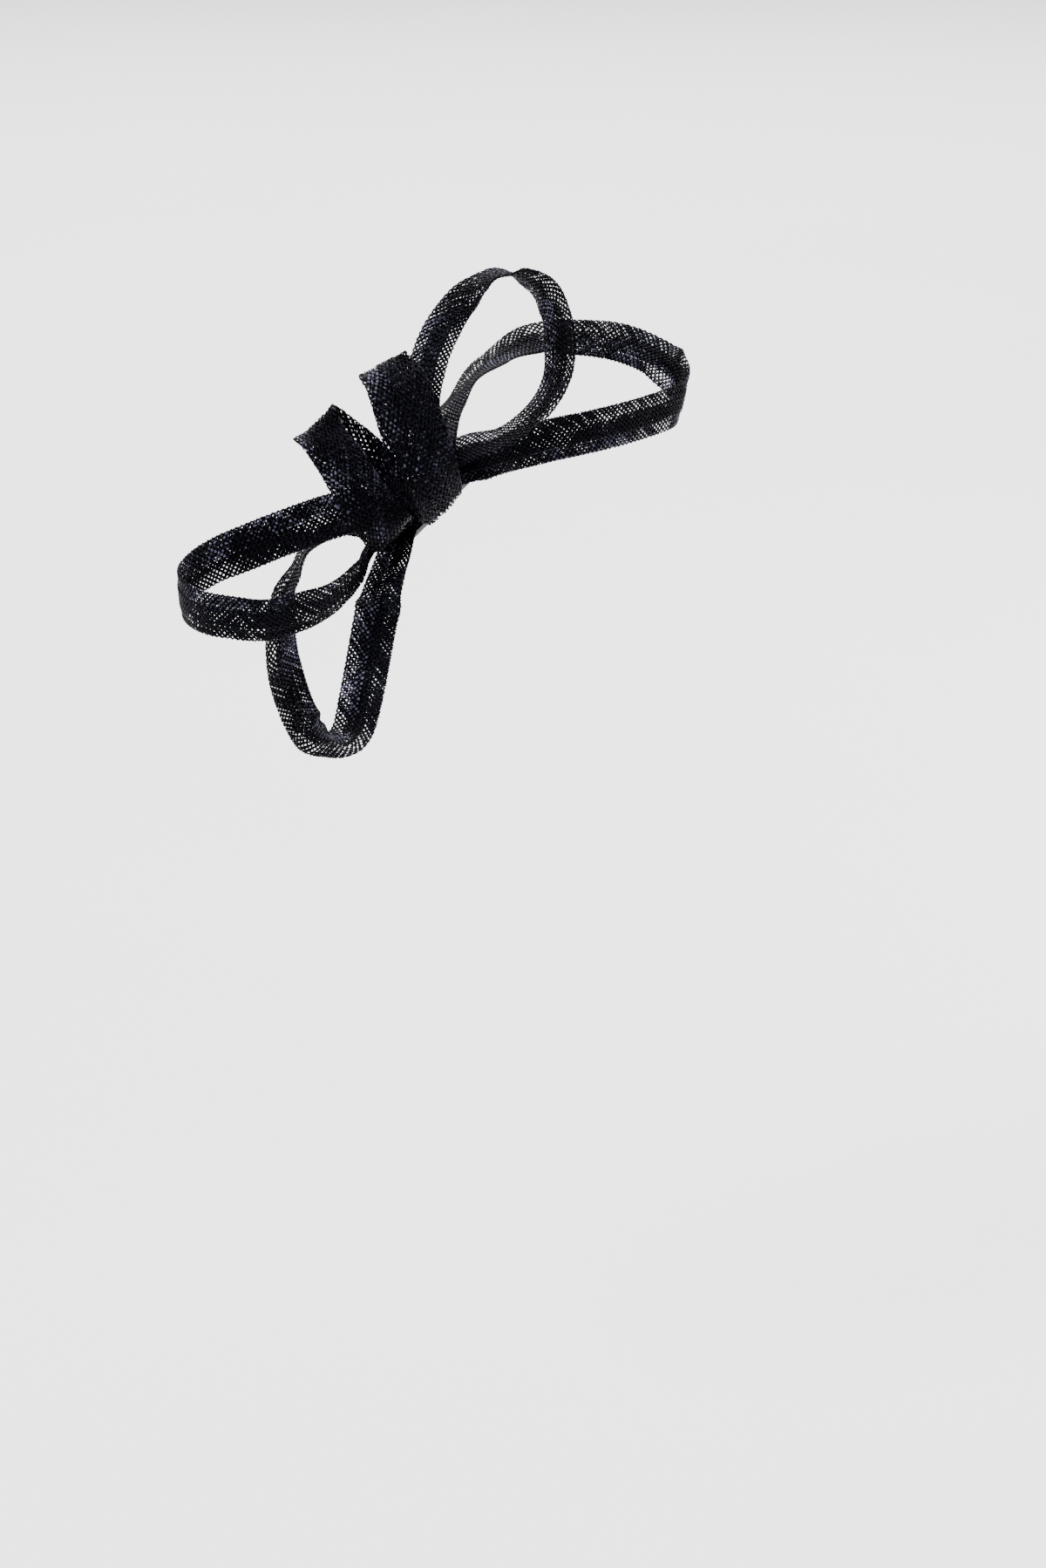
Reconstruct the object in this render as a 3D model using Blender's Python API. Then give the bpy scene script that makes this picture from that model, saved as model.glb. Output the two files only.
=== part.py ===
"""A looped bow fascinator of bias-cut stiff net, built at real size in metres with +Z up.

The bow is laid out in its own axes: along the bow, across it, and rising from its seat.
An empty then turns it to the way it is worn, with the seat at the origin.
"""
import math

import bmesh
import bpy
from mathutils import Matrix, Vector

# Net bands
LOOP_BAND_WIDTH = 0.0135
EAR_BAND_WIDTH = 0.0175
BAND_THICKNESS = 0.0012
BAND_EDGE_ROUNDING = 0.0003

# Knot, where every loop's ends are gathered flat on each other
LAYER_CLEARANCE = 0.0004
KNOT_LENGTH = 0.010
ROOT_BAND_WIDTH = 0.0085
ROOT_MEETING_GAP = 0.0010
ROOT_LEAD = 0.0006
ROOTS_PER_SIDE = 4
WRAP_THICKNESS = 0.0012
WRAP_CLEARANCE = 0.0004

# Hair clip under the knot
CLIP_LENGTH = 0.038
CLIP_WIDTH = 0.008
CLIP_THICKNESS = 0.0016
CLIP_CORNER = 0.0039
CLIP_TO_WRAP = 0.0004

# How the bow is turned when it is worn, in degrees
SEAT_TURN = 33.0
SEAT_LIFT = 40.5
BOW_TILT = 62.0

# Reach along the bow, spread across it and rise off the seat of each loop
TOP_REACH, TOP_SPREAD, TOP_RISE = 0.0685, 0.0285, 0.0240
RIGHT_REACH, RIGHT_SPREAD, RIGHT_FALL = 0.0850, 0.0415, 0.0425
LEFT_REACH, LEFT_SPREAD, LEFT_RISE = 0.0710, 0.0300, 0.0330
LOWER_REACH, LOWER_SPREAD, LOWER_FALL = 0.0755, 0.0285, 0.0310
EAR_LEFT_REACH, EAR_LEFT_SPREAD, EAR_LEFT_RISE = 0.0135, 0.0210, 0.0395
EAR_RIGHT_REACH, EAR_RIGHT_SPREAD, EAR_RIGHT_RISE = 0.0190, 0.0210, 0.0375

LAYER_PITCH = BAND_THICKNESS + LAYER_CLEARANCE
WRAP_BOTTOM = CLIP_THICKNESS + CLIP_TO_WRAP
FIRST_LAYER = WRAP_BOTTOM + WRAP_THICKNESS + WRAP_CLEARANCE + BAND_THICKNESS / 2
STEPS_PER_BAND = 84

# Each loop from its lower or far root round to its other root.
# Columns: along, across and rise as shares of the loop's three sizes, the direction from edge
# to edge of the band in the same three axes, and the band's width as a share of the full width.
COLUMNS = ("along", "across", "rise", "edge_along", "edge_across", "edge_rise", "width")

TOP_ROWS = (
    (0.18, 0.16, 0.37, -0.35, 0.95, 0.05, 0.75),
    (0.28, 0.57, 0.62, -0.45, 0.85, -0.20, 1.00),
    (0.42, 0.79, 0.83, -0.45, 0.90, 0.00, 1.00),
    (0.57, 0.94, 0.92, -0.25, 0.95, 0.05, 1.00),
    (0.73, 1.00, 0.98, 0.00, 1.00, -0.05, 1.00),
    (0.87, 0.95, 1.00, 0.30, 0.85, -0.40, 1.00),
    (0.95, 0.80, 0.98, 0.25, 0.60, -0.75, 1.00),
    (0.99, 0.66, 0.88, -0.20, 0.45, -0.85, 1.00),
    (0.99, 0.27, 0.77, -0.65, 0.40, -0.65, 1.00),
    (0.90, -0.06, 0.62, -0.60, 0.70, -0.40, 1.00),
    (0.77, -0.34, 0.52, -0.40, 0.85, -0.35, 1.00),
    (0.60, -0.50, 0.55, -0.10, 0.95, -0.35, 1.00),
    (0.41, -0.43, 0.58, 0.20, 0.90, -0.35, 0.90),
    (0.26, -0.16, 0.56, 0.30, 0.95, -0.10, 0.80),
    (0.16, -0.03, 0.45, 0.10, 1.00, 0.00, 0.65),
)
RIGHT_ROWS = (
    (0.12, 0.04, 0.08, 0.15, -1.00, 0.00, 0.70),
    (0.18, 0.23, 0.07, 0.35, -0.85, 0.40, 0.80),
    (0.29, 0.54, -0.03, 0.10, -0.90, 0.40, 0.90),
    (0.40, 0.75, -0.18, 0.25, -0.75, 0.60, 1.00),
    (0.57, 0.96, -0.42, 0.10, -0.95, 0.35, 1.00),
    (0.74, 1.00, -0.62, -0.15, -1.00, -0.05, 1.00),
    (0.85, 0.88, -0.79, -0.60, -0.80, 0.00, 1.00),
    (0.95, 0.65, -0.92, -0.85, -0.50, 0.05, 1.00),
    (1.00, 0.34, -1.00, -0.95, -0.30, 0.20, 1.00),
    (0.99, 0.07, -0.97, -0.80, 0.20, -0.55, 1.00),
    (0.93, -0.18, -0.91, -0.70, -0.05, -0.70, 1.00),
    (0.87, -0.30, -0.74, -0.65, -0.25, -0.75, 1.00),
    (0.72, -0.37, -0.45, -0.65, -0.25, -0.75, 1.00),
    (0.57, -0.37, -0.19, -0.60, -0.25, -0.75, 1.00),
    (0.44, -0.31, -0.01, -0.50, -0.30, -0.80, 1.00),
    (0.27, -0.18, 0.11, -0.35, -0.25, -0.90, 0.90),
    (0.19, -0.10, 0.14, -0.25, -0.85, -0.45, 0.70),
    (0.12, -0.02, 0.14, -0.10, -1.00, -0.05, 0.70),
)
LEFT_ROWS = (
    (-0.14, 0.10, 0.30, 0.25, 0.95, 0.05, 0.70),
    (-0.23, 0.35, 0.33, 0.45, 0.60, 0.60, 0.95),
    (-0.32, 0.55, 0.31, 0.45, 0.60, 0.65, 1.00),
    (-0.48, 0.77, 0.34, 0.45, 0.70, 0.55, 1.00),
    (-0.66, 0.95, 0.41, 0.40, 0.65, 0.65, 1.00),
    (-0.81, 1.00, 0.55, 0.45, 0.40, 0.80, 1.00),
    (-0.95, 0.86, 0.75, 0.50, 0.25, 0.80, 1.00),
    (-1.00, 0.55, 0.92, 0.60, 0.25, 0.75, 1.00),
    (-0.98, 0.17, 1.00, 0.65, 0.25, 0.75, 1.00),
    (-0.90, -0.14, 0.94, 0.65, 0.25, 0.75, 1.00),
    (-0.82, -0.34, 0.85, 0.55, 0.20, 0.80, 1.00),
    (-0.69, -0.45, 0.71, 0.50, 0.10, 0.85, 1.00),
    (-0.57, -0.48, 0.58, 0.45, -0.10, 0.90, 1.00),
    (-0.46, -0.40, 0.47, 0.25, -0.20, 0.95, 0.90),
    (-0.38, -0.25, 0.32, 0.10, -0.45, 0.90, 0.85),
    (-0.30, -0.05, 0.22, 0.20, -0.90, 0.45, 0.65),
    (-0.18, 0.00, 0.22, -0.15, -1.00, 0.15, 0.65),
)
LOWER_ROWS = (
    (-0.15, -0.05, 0.10, -0.20, 1.00, 0.00, 0.75),
    (-0.27, -0.25, 0.10, -0.55, 0.85, -0.10, 0.95),
    (-0.38, -0.44, 0.09, -0.50, 0.85, 0.00, 1.00),
    (-0.46, -0.59, 0.06, -0.45, 0.45, 0.75, 1.00),
    (-0.58, -0.73, -0.10, -0.60, 0.40, 0.70, 1.00),
    (-0.71, -0.82, -0.34, -0.60, 0.40, 0.70, 1.00),
    (-0.84, -0.87, -0.58, -0.45, 0.30, 0.80, 1.00),
    (-0.90, -0.75, -0.71, 0.05, 0.00, 1.00, 1.00),
    (-0.94, -0.52, -0.78, 0.60, -0.10, 0.80, 0.85),
    (-0.96, -0.14, -0.87, 0.80, -0.45, 0.35, 1.00),
    (-0.89, 0.45, -0.84, 0.75, -0.65, 0.25, 1.00),
    (-0.80, 0.84, -0.77, 0.55, -0.80, 0.25, 1.00),
    (-0.68, 1.00, -0.53, 0.35, -0.85, 0.35, 1.00),
    (-0.55, 0.98, -0.30, 0.10, -0.80, 0.60, 1.00),
    (-0.44, 0.89, -0.08, 0.00, -0.75, 0.65, 1.00),
    (-0.29, 0.64, 0.06, -0.25, -0.85, 0.45, 0.80),
    (-0.16, 0.13, 0.15, -0.30, -0.95, 0.00, 0.75),
)
EAR_LEFT_ROWS = (
    (-0.98, -0.36, 0.28, -1.00, 0.00, -0.05, 0.75),
    (-1.04, -0.42, 0.38, -1.00, 0.10, 0.00, 0.90),
    (-1.04, -0.33, 0.56, -0.95, -0.10, 0.35, 0.90),
    (-0.95, -0.13, 0.75, -0.90, -0.10, 0.40, 0.90),
    (-0.74, 0.29, 0.92, -0.90, 0.00, 0.40, 0.85),
    (-0.65, 0.65, 1.00, -0.85, -0.25, 0.45, 0.85),
    (-0.57, 0.95, 0.99, -0.95, -0.15, 0.25, 0.85),
    (-0.46, 0.99, 0.82, -0.95, -0.15, 0.15, 0.90),
    (-0.32, 0.72, 0.57, -0.95, -0.25, 0.10, 0.90),
    (-0.25, 0.44, 0.37, -1.00, -0.05, -0.10, 0.70),
    (-0.39, 0.22, 0.32, -1.00, 0.00, 0.00, 0.55),
)
EAR_RIGHT_ROWS = (
    (0.13, -0.42, 0.12, -1.00, -0.10, 0.10, 0.75),
    (0.15, -0.45, 0.24, -0.95, -0.05, 0.20, 0.90),
    (0.24, -0.43, 0.41, -0.95, 0.00, 0.30, 0.95),
    (0.40, -0.32, 0.59, -0.90, 0.10, 0.45, 1.00),
    (0.63, -0.06, 0.77, -0.85, 0.10, 0.50, 1.00),
    (0.78, 0.18, 0.88, -0.85, 0.10, 0.55, 1.00),
    (0.97, 0.58, 0.98, -0.85, 0.10, 0.50, 1.00),
    (1.00, 0.93, 1.00, -0.90, 0.05, 0.40, 0.90),
    (0.97, 1.02, 0.84, -0.90, 0.00, 0.40, 0.90),
    (0.70, 0.74, 0.65, -0.75, 0.05, 0.65, 0.90),
    (0.38, 0.38, 0.50, -0.75, 0.05, 0.65, 0.80),
    (0.13, 0.12, 0.34, -1.00, 0.00, 0.00, 0.55),
)


def clear_scene():
    """Remove whatever the file opened with."""
    for old in list(bpy.data.objects):
        bpy.data.objects.remove(old, do_unlink=True)


def plain_material(name, colour, roughness, metallic=0.0):
    """One Principled material."""
    material = bpy.data.materials.new(name)
    material.use_nodes = True
    shader = material.node_tree.nodes["Principled BSDF"]
    shader.inputs["Base Color"].default_value = (*colour, 1.0)
    shader.inputs["Roughness"].default_value = roughness
    shader.inputs["Metallic"].default_value = metallic
    material.diffuse_color = (*colour, 1.0)
    return material


def worn_axes():
    """The bow's along, across and rise directions in the world, as a turning matrix."""
    turn = math.radians(SEAT_TURN)
    lift = math.radians(SEAT_LIFT)
    tilt = math.radians(BOW_TILT)
    rise = Vector((-math.sin(turn) * math.cos(lift), -math.cos(turn) * math.cos(lift), math.sin(lift)))
    level = Vector((0.0, 0.0, 1.0)).cross(rise).normalized()
    uphill = rise.cross(level)
    along = math.cos(tilt) * level + math.sin(tilt) * uphill
    across = rise.cross(along)
    return Matrix((along, across, rise)).transposed()


def worn_seat():
    """The empty that carries the whole bow, turned to the way it is worn."""
    seat = bpy.data.objects.new("worn_seat", None)
    seat.rotation_euler = worn_axes().to_euler()
    bpy.context.scene.collection.objects.link(seat)
    return seat


def curve_point(before, start, end, after, share):
    """A point on a centripetal Catmull-Rom curve between start and end."""
    knots = [0.0]
    for first, second in ((before, start), (start, end), (end, after)):
        knots.append(knots[-1] + max((second - first).length, 1e-6) ** 0.5)
    t0, t1, t2, t3 = knots
    t = t1 + share * (t2 - t1)
    a1 = before * ((t1 - t) / (t1 - t0)) + start * ((t - t0) / (t1 - t0))
    a2 = start * ((t2 - t) / (t2 - t1)) + end * ((t - t1) / (t2 - t1))
    a3 = end * ((t3 - t) / (t3 - t2)) + after * ((t - t2) / (t3 - t2))
    b1 = a1 * ((t2 - t) / (t2 - t0)) + a2 * ((t - t0) / (t2 - t0))
    b2 = a2 * ((t3 - t) / (t3 - t1)) + a3 * ((t - t1) / (t3 - t1))
    return b1 * ((t2 - t) / (t2 - t1)) + b2 * ((t - t1) / (t2 - t1))


def smooth_stations(stations, steps):
    """Centre, edge direction and width at even steps along a curve through the stations."""
    centres = [station[0] for station in stations]
    run = [0.0]
    for first, second in zip(centres, centres[1:]):
        run.append(run[-1] + (second - first).length)
    placed = []
    for step in range(steps + 1):
        distance = run[-1] * step / steps
        index = 0
        while index < len(run) - 2 and run[index + 1] < distance:
            index += 1
        share = (distance - run[index]) / (run[index + 1] - run[index])
        first = centres[index]
        second = centres[index + 1]
        before = centres[index - 1] if index > 0 else 2 * first - second
        after = centres[index + 2] if index + 2 < len(centres) else 2 * second - first
        ease = share * share * (3 - 2 * share)
        edge = stations[index][1].lerp(stations[index + 1][1], ease).normalized()
        width = stations[index][2] + (stations[index + 1][2] - stations[index][2]) * ease
        placed.append((curve_point(before, first, second, after, share), edge, width))
    return placed


def band_mesh(name, placed):
    """A strip of flat net through the placed stations, as a grid of two long edges."""
    mesh = bpy.data.meshes.new(name)
    strip = bmesh.new()
    rows = len(placed)
    bmesh.ops.create_grid(strip, x_segments=2, y_segments=rows - 1, size=1.0)
    strip.verts.ensure_lookup_table()
    for vertex in strip.verts:
        row = round((vertex.co.y + 1) / 2 * (rows - 1))
        centre, edge, width = placed[row]
        ahead = placed[min(row + 1, rows - 1)][0]
        behind = placed[max(row - 1, 0)][0]
        tangent = (ahead - behind).normalized()
        square_edge = (edge - tangent * edge.dot(tangent)).normalized()
        vertex.co = centre + square_edge * (vertex.co.x * width / 2)
    bmesh.ops.recalc_face_normals(strip, faces=strip.faces)
    strip.to_mesh(mesh)
    strip.free()
    return mesh


def thicken(band, thickness, rounding):
    """Give a strip its thickness and rounded edges."""
    solid = band.modifiers.new("thickness", "SOLIDIFY")
    solid.thickness = thickness
    solid.offset = 0.0
    bevel = band.modifiers.new("rounded_edges", "BEVEL")
    bevel.width = rounding
    bevel.segments = 1
    bevel.limit_method = "ANGLE"
    bevel.angle_limit = math.radians(50)


def add_band(name, placed, material, seat):
    """One net band as a named solid on the seat."""
    band = bpy.data.objects.new(name, band_mesh(name, placed))
    bpy.context.scene.collection.objects.link(band)
    band.data.materials.append(material)
    for face in band.data.polygons:
        face.use_smooth = True
    thicken(band, BAND_THICKNESS, BAND_EDGE_ROUNDING)
    band.parent = seat
    return band


def root_stations(side, layer, across_way):
    """The flat end of a loop inside the knot, from the middle out to the mouth."""
    height = FIRST_LAYER + layer * LAYER_PITCH
    edge = Vector((0.0, across_way, 0.0))
    marks = (ROOT_MEETING_GAP / 2, KNOT_LENGTH / 4, KNOT_LENGTH / 2, KNOT_LENGTH / 2 + ROOT_LEAD)
    return [(Vector((side * mark, 0.0, height)), edge, ROOT_BAND_WIDTH) for mark in marks]


def table_stations(rows, sizes, full_width):
    """Stations from a table of shares."""
    stations = []
    for row in rows:
        value = dict(zip(COLUMNS, row))
        centre = Vector((value["along"] * sizes[0], value["across"] * sizes[1], value["rise"] * sizes[2]))
        edge = Vector((value["edge_along"], value["edge_across"], value["edge_rise"])).normalized()
        stations.append((centre, edge, value["width"] * full_width))
    return stations


def loop_band(name, rows, sizes, side, layers, ways, material, seat):
    """A loop that leaves the knot on one layer and comes back to it on another."""
    out = root_stations(side, layers[0], ways[0])
    back = root_stations(side, layers[1], ways[1])
    back.reverse()
    stations = out + table_stations(rows, sizes, LOOP_BAND_WIDTH) + back
    return add_band(name, smooth_stations(stations, STEPS_PER_BAND), material, seat)


def ear_band(name, rows, sizes, material, seat):
    """A short wide loop that crosses the front of the knot and rises over it."""
    stations = table_stations(rows, sizes, EAR_BAND_WIDTH)
    return add_band(name, smooth_stations(stations, STEPS_PER_BAND // 2), material, seat)


def knot_wrap(material, seat):
    """The binding round the gathered ends, a flat sleeve with rounded corners."""
    inner_height = ROOTS_PER_SIDE * LAYER_PITCH - LAYER_CLEARANCE + 2 * WRAP_CLEARANCE
    inner_width = ROOT_BAND_WIDTH + 2 * WRAP_CLEARANCE
    middle = WRAP_BOTTOM + WRAP_THICKNESS + inner_height / 2
    mesh = bpy.data.meshes.new("knot_wrap")
    sleeve = bmesh.new()
    bmesh.ops.create_cube(sleeve, size=1.0)
    for vertex in sleeve.verts:
        vertex.co.x *= KNOT_LENGTH
        vertex.co.y *= inner_width + WRAP_THICKNESS
        vertex.co.z *= inner_height + WRAP_THICKNESS
    ends = [face for face in sleeve.faces if abs(face.normal.x) > 0.9]
    bmesh.ops.delete(sleeve, geom=ends, context="FACES_ONLY")
    sleeve.to_mesh(mesh)
    sleeve.free()
    wrap = bpy.data.objects.new("knot_wrap", mesh)
    wrap.location = (0.0, 0.0, middle)
    bpy.context.scene.collection.objects.link(wrap)
    mesh.materials.append(material)
    thicken(wrap, WRAP_THICKNESS, BAND_EDGE_ROUNDING)
    wrap.parent = seat
    return wrap


def hair_clip(material, seat):
    """The plain flat clip under the knot that holds the bow on."""
    mesh = bpy.data.meshes.new("hair_clip")
    plate = bmesh.new()
    bmesh.ops.create_cube(plate, size=1.0)
    for vertex in plate.verts:
        vertex.co.x *= CLIP_LENGTH
        vertex.co.y *= CLIP_WIDTH
        vertex.co.z *= CLIP_THICKNESS
    corners = [edge for edge in plate.edges if abs((edge.verts[0].co - edge.verts[1].co).z) > CLIP_THICKNESS / 2]
    bmesh.ops.bevel(plate, geom=corners, offset=CLIP_CORNER, segments=8, affect="EDGES", profile=0.5)
    plate.to_mesh(mesh)
    plate.free()
    clip = bpy.data.objects.new("hair_clip", mesh)
    clip.location = (0.0, 0.0, CLIP_THICKNESS / 2)
    bpy.context.scene.collection.objects.link(clip)
    mesh.materials.append(material)
    clip.parent = seat
    return clip


def build():
    """The whole bow."""
    clear_scene()
    seat = worn_seat()
    net_colour = (0.012, 0.013, 0.022)
    top = (TOP_REACH, TOP_SPREAD, TOP_RISE)
    right = (RIGHT_REACH, RIGHT_SPREAD, RIGHT_FALL)
    left = (LEFT_REACH, LEFT_SPREAD, LEFT_RISE)
    lower = (LOWER_REACH, LOWER_SPREAD, LOWER_FALL)
    ear_left = (EAR_LEFT_REACH, EAR_LEFT_SPREAD, EAR_LEFT_RISE)
    ear_right = (EAR_RIGHT_REACH, EAR_RIGHT_SPREAD, EAR_RIGHT_RISE)
    loop_band("loop_top", TOP_ROWS, top, 1, (2, 3), (1, 1), plain_material("net_top", net_colour, 0.45), seat)
    loop_band("loop_right", RIGHT_ROWS, right, 1, (0, 1), (-1, -1), plain_material("net_right", net_colour, 0.45), seat)
    loop_band("loop_left", LEFT_ROWS, left, -1, (3, 2), (1, -1), plain_material("net_left", net_colour, 0.45), seat)
    loop_band("loop_lower", LOWER_ROWS, lower, -1, (0, 1), (1, -1), plain_material("net_lower", net_colour, 0.45), seat)
    ear_band("ear_left", EAR_LEFT_ROWS, ear_left, plain_material("net_ear_left", net_colour, 0.45), seat)
    ear_band("ear_right", EAR_RIGHT_ROWS, ear_right, plain_material("net_ear_right", net_colour, 0.45), seat)
    knot_wrap(plain_material("net_wrap", net_colour, 0.45), seat)
    hair_clip(plain_material("clip_metal", (0.02, 0.02, 0.022), 0.35, 1.0), seat)
    bpy.context.view_layer.update()


build()
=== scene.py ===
import math

import bpy
import numpy as np
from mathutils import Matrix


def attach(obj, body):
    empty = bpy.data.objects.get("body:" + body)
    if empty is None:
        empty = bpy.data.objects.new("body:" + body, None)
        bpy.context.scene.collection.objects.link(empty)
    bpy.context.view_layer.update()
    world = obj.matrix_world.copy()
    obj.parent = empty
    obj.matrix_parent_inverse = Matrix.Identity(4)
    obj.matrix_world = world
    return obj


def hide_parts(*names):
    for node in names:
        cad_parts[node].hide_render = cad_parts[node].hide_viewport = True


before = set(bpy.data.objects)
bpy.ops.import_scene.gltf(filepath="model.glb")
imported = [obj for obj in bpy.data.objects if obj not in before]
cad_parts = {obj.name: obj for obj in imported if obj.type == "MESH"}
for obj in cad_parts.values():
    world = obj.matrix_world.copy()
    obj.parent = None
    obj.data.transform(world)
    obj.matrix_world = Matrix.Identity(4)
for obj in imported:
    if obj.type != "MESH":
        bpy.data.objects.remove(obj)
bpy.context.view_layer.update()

bl_info = {
    "name": "Looped net bow fascinator",
    "version": (1, 0, 0),
    "blender": (4, 5, 0),
    "location": "3D View > Sidebar > Bow",
    "description": "Weaves the folded bias net bands of a looped bow and dresses its knot and clip",
    "category": "Object",
}

# How the bow is turned when it is worn, in degrees, as in the part's source
SEAT_TURN = 33.0
SEAT_LIFT = 40.5
BOW_TILT = 62.0

# Knot sizes in metres, as in the part's source
BAND_THICKNESS = 0.0012
LAYER_CLEARANCE = 0.0004
KNOT_LENGTH = 0.010
ROOT_BAND_WIDTH = 0.0085
ROOT_MEETING_GAP = 0.0010
ROOT_LEAD = 0.0006
ROOTS_PER_SIDE = 4
WRAP_THICKNESS = 0.0012
WRAP_CLEARANCE = 0.0004
CLIP_THICKNESS = 0.0016
CLIP_TO_WRAP = 0.0004
LAYER_PITCH = BAND_THICKNESS + LAYER_CLEARANCE
WRAP_BOTTOM = CLIP_THICKNESS + CLIP_TO_WRAP
FIRST_LAYER = WRAP_BOTTOM + WRAP_THICKNESS + WRAP_CLEARANCE + BAND_THICKNESS / 2

# The woven wrap: steps round the knot, how square its corners are, how much wider it is than
# its solid to lie clear of the bands that leave it, how many times its finished width its
# strip is cut to, and its half rows of holes
WRAP_STEPS = 32
WRAP_SQUARENESS = 9.0
WRAP_EASE = 0.0003
WRAP_CUT_TIMES = 2.3
WRAP_ROWS = 12

# How finely a route is followed, the window that evens out its edge direction, and the width
# in which one folded edge climbs onto the other
ROUTE_STEP = 0.0006
EDGE_WINDOW = 9
LAP_BLEND = 0.0015

# How threads differ: their fullness, the share of the tone that is a thread's own (the rest is a
# painted highlight on each crossing where the thread lies on top), the lengths per radian in which
# the flaps' slip and the folds drift along a band, the size of the flaps' drift and of the folds'
# quicker drift against what they are added to, and the fewest points that a thread is drawn with
FULLNESS = (0.78, 1.18)
OWN_TONE = 0.45
FLAP_DRIFT = (0.013, 0.017)
FOLD_DRIFT = (0.0095, 0.0033)
DRIFT_SHARE = 0.5
FEWEST_MARKS = 4

# The floor's size and how far behind the bow its middle is, and the rim light's power as a
# share of the key light's
FLOOR_SIZE = 60.0
FLOOR_MIDDLE = 20.0
RIM_SHARE = 0.6

# Each band's route: along, across and rise as shares of its three sizes, the direction from
# edge to edge in the same axes, and the width as a share of the full width
COLUMNS = ("along", "across", "rise", "edge_along", "edge_across", "edge_rise", "width")
SIZES = {
    "loop_top": (0.0685, 0.0285, 0.0240),
    "loop_right": (0.0850, 0.0415, 0.0425),
    "loop_left": (0.0710, 0.0300, 0.0330),
    "loop_lower": (0.0755, 0.0285, 0.0310),
    "ear_left": (0.0135, 0.0210, 0.0395),
    "ear_right": (0.0190, 0.0210, 0.0375),
}
# Side of the knot, layers of the two roots, and which way their edges run
ROOTS = {
    "loop_top": (1, (2, 3), (1, 1)),
    "loop_right": (1, (0, 1), (-1, -1)),
    "loop_left": (-1, (3, 2), (1, -1)),
    "loop_lower": (-1, (0, 1), (1, -1)),
}
# An end that is turned in along the knot, where the part's source ends its band above it
TURNED_IN = {"ear_left": ((-0.45, 0.10, 0.32, -1.00, 0.00, 0.00, 0.42),)}

# How far each folded-in edge has slipped along its band, in hole spacings: at shares of the
# band's length, the edge on the side of its edge direction, then the other. 0 lines the holes
# of the layers up, and 0.5 closes them.
SLIPS = {
    "loop_top": (
        (0.00, 0.45, 0.45), (0.12, 0.08, 0.10), (0.40, 0.05, 0.06), (0.48, 0.35, 0.30),
        (0.58, 0.50, 0.48), (0.72, 0.50, 0.46), (0.85, 0.50, 0.46), (1.00, 0.50, 0.50),
    ),
    "loop_right": (
        (0.00, 0.50, 0.50), (0.24, 0.50, 0.48), (0.32, 0.32, 0.28), (0.42, 0.34, 0.26),
        (0.50, 0.46, 0.46), (0.60, 0.48, 0.48), (0.72, 0.50, 0.45), (0.82, 0.50, 0.46),
        (1.00, 0.50, 0.50),
    ),
    "loop_left": (
        (0.00, 0.50, 0.50), (0.14, 0.44, 0.42), (0.22, 0.24, 0.26), (0.36, 0.24, 0.20),
        (0.46, 0.44, 0.36), (0.56, 0.36, 0.08), (0.70, 0.34, 0.10), (0.84, 0.46, 0.42), (1.00, 0.50, 0.50),
    ),
    "loop_lower": (
        (0.00, 0.50, 0.50), (0.10, 0.30, 0.48), (0.18, 0.14, 0.46), (0.34, 0.18, 0.44),
        (0.44, 0.46, 0.46), (0.54, 0.46, 0.44), (0.62, 0.40, 0.40), (0.74, 0.38, 0.40),
        (0.86, 0.48, 0.48), (1.00, 0.50, 0.50),
    ),
    "ear_left": (
        (0.00, 0.50, 0.50), (0.20, 0.14, 0.46), (0.36, 0.04, 0.34), (0.50, 0.44, 0.44),
        (0.62, 0.06, 0.10), (0.80, 0.10, 0.25), (1.00, 0.50, 0.50),
    ),
    "ear_right": (
        (0.00, 0.50, 0.50), (0.22, 0.16, 0.46), (0.40, 0.06, 0.40), (0.50, 0.44, 0.44),
        (0.60, 0.06, 0.42), (0.85, 0.12, 0.50), (1.00, 0.50, 0.50),
    ),
    "knot_wrap": ((0.00, 0.50, 0.50), (1.00, 0.50, 0.50)),
}
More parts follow.
